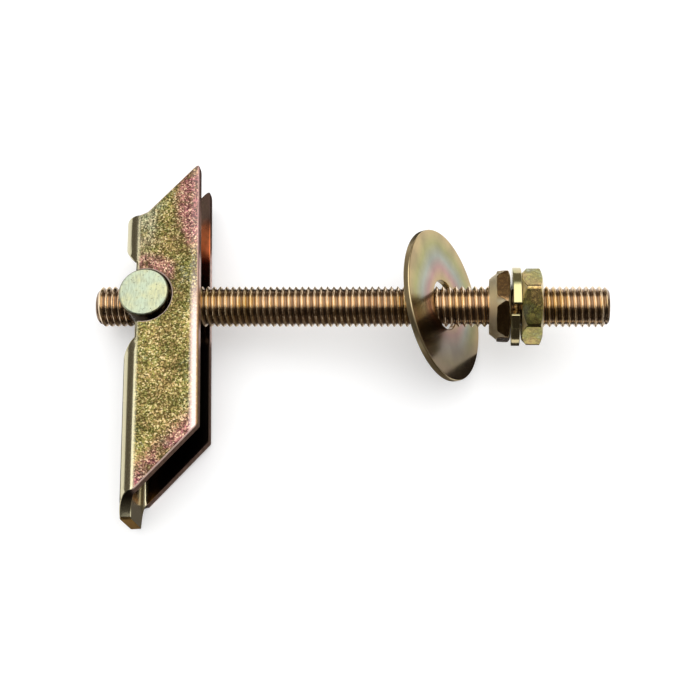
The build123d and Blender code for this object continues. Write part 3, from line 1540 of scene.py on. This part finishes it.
@dataclass
class LargeWasher:
    """Wide stamped washer, leaning on the rod."""

    outer: float = 15.0
    bore: float = 4.85
    thickness: float = 1.2
    die_roll: float = 0.3
    burr_roll: float = 0.12
    columns: int = 144
    fit: Fit = Fit("wide_washer", "large_washer", "washer", "washer_zinc")
    look: PlatedFinish = WasherFinish("washer_plating", patch_mm=9.0, drift=0.04, thickness=0.34)

    def build(self) -> bpy.types.Mesh:
        """Stamp the washer.

        Returns:
            Its mesh.
        """
        half = self.thickness / 2
        corners = [(self.bore, -half), (self.outer, -half), (self.outer, half), (self.bore, half)]
        radii = [self.burr_roll, self.burr_roll, self.die_roll, self.die_roll]
        shell = Shell()
        shell.grid(lathed(softened(corners, radii), self.columns, Axis.Z))
        return shell.mesh("large_washer")

    def place(self, bench: Bench) -> Matrix:
        """Work out the lean from the CAD node, whose thinnest direction is the washer's axis.

        Args:
            bench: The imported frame.

        Returns:
            The washer's placement in the row frame.
        """
        points = np.array([point.co for point in bench.frame["nodes"][self.fit.node].data.vertices])
        centre = (points.max(axis=0) + points.min(axis=0)) / 2
        facing = Vector(np.linalg.eigh((points - centre).T @ (points - centre))[1][:, 0])
        if facing.x < 0:
            facing = -facing
        up = bench.bolt.to_3x3() @ Vector((0, 1, 0))
        across = up.cross(facing).normalized()
        turned = Matrix((across, facing.cross(across), facing)).transposed().to_4x4()
        return Matrix.Translation(Vector(centre)) @ turned

    def dress(self, bench: Bench) -> None:
        """Stamp and seat the washer."""
        bench.seat(self.build(), self.place(bench), self.fit, self.look)


@dataclass
class HexNut:
    """Thin hex nut with chamfered corners.

    The left bevel takes its share of the nut's thickness at the corners, and the right bevel
    its share of what is left. A collar is a narrower foot below the left bevel.
    """

    name: str
    look: PlatedFinish
    turn: float
    left_bevel: float
    right_bevel: float
    collar: float = 0.0
    bevel_from: float = 6.45
    flats: float = 13.0
    face_margin: float = 0.35
    collar_slope: float = 0.6
    foot_margin: float = 0.05
    foot_lift: float = 0.04
    bevel_lift: float = 0.08
    bore: float = 4.05
    bore_chamfer: float = 0.4
    mouth_roll: float = 0.05
    face_roll: float = 0.15
    foot_roll: float = 0.03
    corner_roll: float = 0.1
    roll_steps: int = 3
    rounding: int = 60
    columns: int = 180
    fit: Fit = field(init=False)

    def __post_init__(self) -> None:
        """Name the piece after its node."""
        self.fit = Fit("hex_" + self.name, self.name, "hex_nuts", "nut_zinc")

    def rim(self, angle: float) -> float:
        """Return the hexagon's radius in a direction, with slightly rounded corners."""
        slabs = [abs(math.cos(angle - math.radians(60 * side))) for side in range(3)]
        return self.flats / 2 / sum(slab**self.rounding for slab in slabs) ** (1 / self.rounding)

    def section(self, angle: float, thickness: float) -> list[Point2]:
        """Draw the nut's section in a direction.

        Args:
            angle: The direction round the rod.
            thickness: The nut's height along the rod.

        Returns:
            Its outline as (radius, height) points.
        """
        rim = self.rim(angle)
        mouth = self.bore + self.bore_chamfer
        face = self.flats / 2 - self.face_margin
        corner = self.flats / math.sqrt(3)
        lip = face - self.collar * self.collar_slope
        foot = self.flats / 2 - self.foot_margin
        share = max(rim - self.bevel_from, 0.0) / (corner - self.bevel_from)
        left = self.collar + self.bevel_lift + (thickness * self.left_bevel - self.collar) * share
        right = thickness * (1 - self.left_bevel) * self.right_bevel * (rim - face) / (corner - face)
        outline = (
            (self.bore, self.bore_chamfer, 0),
            (mouth, 0.0, self.mouth_roll),
            (lip, 0.0, self.face_roll),
            (foot, self.collar + self.foot_lift, self.foot_roll),
            (rim, left, self.corner_roll),
            (rim, thickness - right, self.corner_roll),
            (face, thickness, self.face_roll),
            (mouth, thickness, self.mouth_roll),
            (self.bore, thickness - self.bore_chamfer, 0),
        )
        corners = [point[:2] for point in outline]
        return softened(corners, [point[2] for point in outline], self.roll_steps)

    def build(self, thickness: float) -> bpy.types.Mesh:
        """Forge the nut.

        Args:
            thickness: Its height along the rod.

        Returns:
            The nut's mesh.
        """
        columns = []
        for step in range(self.columns):
            angle = FULL_TURN * step / self.columns
            section = self.section(angle, thickness)
            columns.append([(x, r * math.cos(angle), r * math.sin(angle)) for r, x in section])
        shell = Shell()
        shell.grid(np.array(columns).transpose(1, 0, 2))
        return shell.mesh(self.name)

    def dress(self, bench: Bench) -> None:
        """Forge and seat the nut.

        Args:
            bench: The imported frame.
        """
        start, end = bench.span(self.name)
        place = bench.start_of(self.name) @ Matrix.Rotation(math.radians(self.turn), 4, "X")
        bench.seat(self.build(end - start), place, self.fit, self.look)


@dataclass
class SpringLockWasher:
    """Split ring of square bar, its ends sprung apart."""

    outer: float = 7.6
    bore: float = 4.25
    thickness: float = 1.7
    rise: float = 0.4
    gap: float = 14.0
    split: float = 213.0
    roll: float = 0.22
    columns: int = 120
    fit: Fit = Fit("split_ring", "spring_lock_washer", "lock_washer", "lock_zinc")
    look: PlatedFinish = SpringFinish("lock_plating", patch_mm=4.0, drift=0.18, thickness=0.78)

    def build(self) -> bpy.types.Mesh:
        """Coil the ring.

        Returns:
            Its mesh.
        """
        corners = [
            (self.bore, 0.0),
            (self.outer, 0.0),
            (self.outer, self.thickness),
            (self.bore, self.thickness),
        ]
        section = softened(corners, [self.roll] * 4)
        sweep = math.radians(360 - self.gap)
        rings = []
        for step in range(self.columns + 1):
            share = step / self.columns
            angle = math.radians(self.split - 90) + sweep * share
            lift = self.rise * share
            rings.append([(x + lift, r * math.cos(angle), r * math.sin(angle)) for r, x in section])
        shell = Shell()
        shell.grid(np.array(rings), open_ends=True)
        shell.cap(np.array(rings[0]))
        shell.cap(np.array(rings[-1]))
        return shell.mesh("spring_lock_washer")

    def dress(self, bench: Bench) -> None:
        """Coil and seat the ring."""
        bench.seat(self.build(), bench.start_of(self.fit.node), self.fit, self.look)


class Shade(Enum):
    """How bright a card is; 1 is white."""

    BLACK = 0.04
    COAL = 0.05
    SOOT = 0.06
    SLATE = 0.13
    GREY = 0.14
    PALE = 0.23


@dataclass
class Studio:
    """Floor, lamp, dark cards and the camera, in metres.

    The cards show only in the plating's reflections, where they make its dark bands.
    """

    pivot: Vector
    floor_size: float = 6.0
    floor_grey: float = 0.8
    floor_glow: float = 0.28
    room_level: float = 0.7
    key_at: Point3 = (0.0, 0.12, 0.8)
    key_size: float = 1.2
    key_power: float = 5.6
    # Camera, as fitted to the photograph.
    camera_from_pivot: Point3 = (0.04202829, -0.10325675, 0.2310567)
    camera_right: Point3 = (0.99937943, 0.03500697, 0.00390749)
    camera_up: Point3 = (-0.0338479, 0.92369172, 0.38163848)
    lens: float = 65.551
    sensor: float = 36.0
    nearest: float = 0.01
    # Cards: colour, heights above the floor and directions from the bolt in degrees.
    card_colour: Colour = (1.0, 0.88, 0.76)
    card_radius: float = 0.5
    card_foot: float = 0.002
    card_top: float = 0.39
    front_top: float = 0.84
    left_foot: float = 0.05
    left_top: float = 0.66
    back_left: float = 130.0
    front_left: float = 205.0
    front_right: float = 335.0
    card_lift: float = 0.0003
    card_columns: int = 49
    body_size: float = 0.045
    # Floor cards, seen only in reflections: painted shade on the floor before the bolt and darker floor
    # further off, by their distance from the pivot and their place along the rod.
    under_channel: float = 0.014
    before_rod: float = 0.004
    behind_rod: float = 0.020
    washer_from: float = 0.018
    nuts_from: float = 0.024
    nut_strip: float = 0.010
    far_strip: float = 0.018

    def floor(self) -> None:
        """Lay the floor, which keeps the bolt's shadow."""
        shell = Shell()
        half = self.floor_size / 2 / MM
        shell.cap(np.array([(-half, -half, 0), (half, -half, 0), (half, half, 0), (-half, half, 0)]))
        mesh = shell.mesh("floor")
        made, graph = blank_material("floor_paint")
        paint = graph.node("ShaderNodeBsdfDiffuse", None, {"Color": (self.floor_grey,) * 3})
        white = {"Color": (1, 1, 1), "Strength": self.floor_glow}
        glow = graph.node("ShaderNodeEmission", None, white)
        none = graph.node("ShaderNodeEmission", None, {"Strength": 0.0})
        lift = graph.node("ShaderNodeMixShader", None, {0: graph.seen(), 1: none, 2: glow})
        both = graph.node("ShaderNodeAddShader", None, {0: paint, 1: lift})
        graph.node("ShaderNodeOutputMaterial", None, {"Surface": both})
        mesh.materials.append(made)
        floor = added("floor", mesh)

    def world(self) -> None:
        """Light the room evenly; the bolt and the camera see it white."""
        world = bpy.data.worlds.new("room")
        bpy.context.scene.world = world
        world.use_nodes = True
        graph = Graph(world.node_tree)
        strength = graph.seen() * (1 - self.room_level) + self.room_level
        sky = graph.node("ShaderNodeBackground", None, {"Color": (1, 1, 1), "Strength": strength})
        graph.node("ShaderNodeOutputWorld", None, {"Surface": sky})

    def card(self, name: str, sheet: np.ndarray, shade: Shade) -> None:
        """Hang a plain card, seen only in reflections.

        Args:
            name: Name of the card.
            sheet: Its points in metres, in rows by columns.
            shade: How bright it is.
        """
        shell = Shell()
        shell.grid(sheet / MM, open_ends=True, open_sides=True)
        mesh = shell.mesh(name)
        made, graph = blank_material(name + "_cloth")
        glow = {"Color": self.card_colour, "Strength": shade.value}
        cloth = graph.node("ShaderNodeEmission", None, glow)
        graph.node("ShaderNodeOutputMaterial", None, {"Surface": cloth})
        mesh.materials.append(made)
        card = added(name, mesh)
        card.visible_camera = False
        card.visible_diffuse = False
        card.visible_shadow = False
        card.visible_transmission = False

    def curved(self, low: float, high: float, start: float, end: float) -> np.ndarray:
        """Bend a card round the bolt, standing on a circle.

        Args:
            low: Height of its lower edge.
            high: Height of its upper edge.
            start: Direction of one end in degrees.
            end: Direction of the other end.

        Returns:
            The card's points.
        """
        angles = np.radians(np.linspace(start, end, self.card_columns))
        ring = self.card_radius * np.stack((np.cos(angles), np.sin(angles)), axis=-1)
        heights = [np.full((self.card_columns, 1), height) for height in (low, high)]
        return np.stack([np.concatenate((ring, height), axis=1) for height in heights])

    def level(self, left: float, right: float, front: float, back: float) -> np.ndarray:
        """Return a card that lies just above the floor between two x and two y."""
        up = self.card_lift
        return np.array([[(x, y, up) for x in (left, right)] for y in (front, back)])

    def cards(self) -> None:
        """Hang the standing cards, lay the floor cards of painted shade and hold up the camera's dark
        body.
        """
        foot, top, reach = self.card_foot, self.card_top, self.card_radius
        left, right, back = self.front_left, self.front_right, self.back_left
        standing = (
            ("ring_card", (foot, top, left, right), Shade.BLACK),
            ("back_card", (foot, top, right - 360, back), Shade.PALE),
            ("front_card", (top, self.front_top, left, right), Shade.BLACK),
            ("left_card", (self.left_foot, self.left_top, back, left), Shade.GREY),
        )
        for name, edges, shade in standing:
            self.card(name, self.curved(*edges), shade)
        near = self.pivot.y - self.before_rod
        far = near + self.behind_rod
        start, nuts = self.pivot.x - self.under_channel, self.nuts_from
        # Painted shade in reflections: dark floor cards before the bolt and rod, darker floor further
        # off.
        lying = (
            ("front_table", (start, nuts, -reach, near), Shade.SLATE),
            ("rod_table", (nuts, reach, near - self.nut_strip, near), Shade.COAL),
            ("far_table", (nuts, reach, -reach, near - self.far_strip), Shade.COAL),
            ("back_table", (self.pivot.x, self.washer_from, far, reach), Shade.COAL),
        )
        for name, edges, shade in lying:
            self.card(name, self.level(*edges), shade)
        across = Vector(self.camera_right) * self.body_size
        high = Vector(self.camera_up) * self.body_size
        eye = self.pivot + Vector(self.camera_from_pivot)
        body = [[eye - across + rise, eye + across + rise] for rise in (-high, high)]
        self.card("camera_body", np.array(body), Shade.SOOT)

    def key_lamp(self) -> None:
        """Hang the square soft lamp that faces the bolt."""
        data = bpy.data.lights.new("key", "AREA")
        data.shape = "SQUARE"
        data.size = self.key_size
        data.energy = self.key_power
        made = added("key", data)
        made.location = self.key_at
        made.rotation_mode = "QUATERNION"
        made.rotation_quaternion = (-Vector(self.key_at)).to_track_quat("-Z", "Y")

    def camera(self) -> None:
        """Set the camera at the photograph's angle."""
        data = bpy.data.cameras.new("camera")
        data.lens = self.lens
        data.sensor_width = self.sensor
        data.clip_start = self.nearest
        made = added("camera", data)
        right, up = Vector(self.camera_right), Vector(self.camera_up)
        turned = Matrix((right, up, right.cross(up))).transposed().to_4x4()
        made.matrix_world = Matrix.Translation(self.pivot + Vector(self.camera_from_pivot)) @ turned
        bpy.context.scene.camera = made

    def dress(self) -> None:
        """Set up the whole studio."""
        self.floor()
        self.world()
        self.cards()
        self.key_lamp()
        self.camera()
        bpy.context.scene.view_settings.view_transform = "Standard"


def nuts() -> tuple[HexNut, HexNut]:
    """Size the two nuts.

    Returns:
        The inner nut, with its collar and deep bevel, and the outer one.
    """
    inner_look = NutFinish("inner_nut_plating", patch_mm=3.0, drift=0.16, thickness=1.0)
    outer_look = NutFinish("outer_nut_plating", patch_mm=4.0, drift=0.32, thickness=0.76)
    inner = HexNut(
        "inner_nut",
        inner_look,
        turn=13.0,
        left_bevel=0.82,
        right_bevel=0.65,
        collar=1.35,
        bevel_from=6.95,
    )
    return inner, HexNut("outer_nut", outer_look, turn=51.0, left_bevel=0.24, right_bevel=0.18)


def main() -> None:
    """Build every piece in order."""
    logging.basicConfig(level=logging.INFO, format="%(message)s")
    bench = Bench(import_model())
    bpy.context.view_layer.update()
    inner_nut, outer_nut = nuts()
    parts: tuple[Part, ...] = (
        ThreadedRod(),
        TrunnionNut(),
        ToggleChannel(),
        LargeWasher(),
        inner_nut,
        SpringLockWasher(),
        outer_nut,
    )
    for part in parts:
        part.dress(bench)
        LOG.info("%s is in place", part.fit.piece)
    Studio(bench.toggle.translation).dress()
    LOG.info("the studio is in place")


if __name__ == "__main__":
    main()
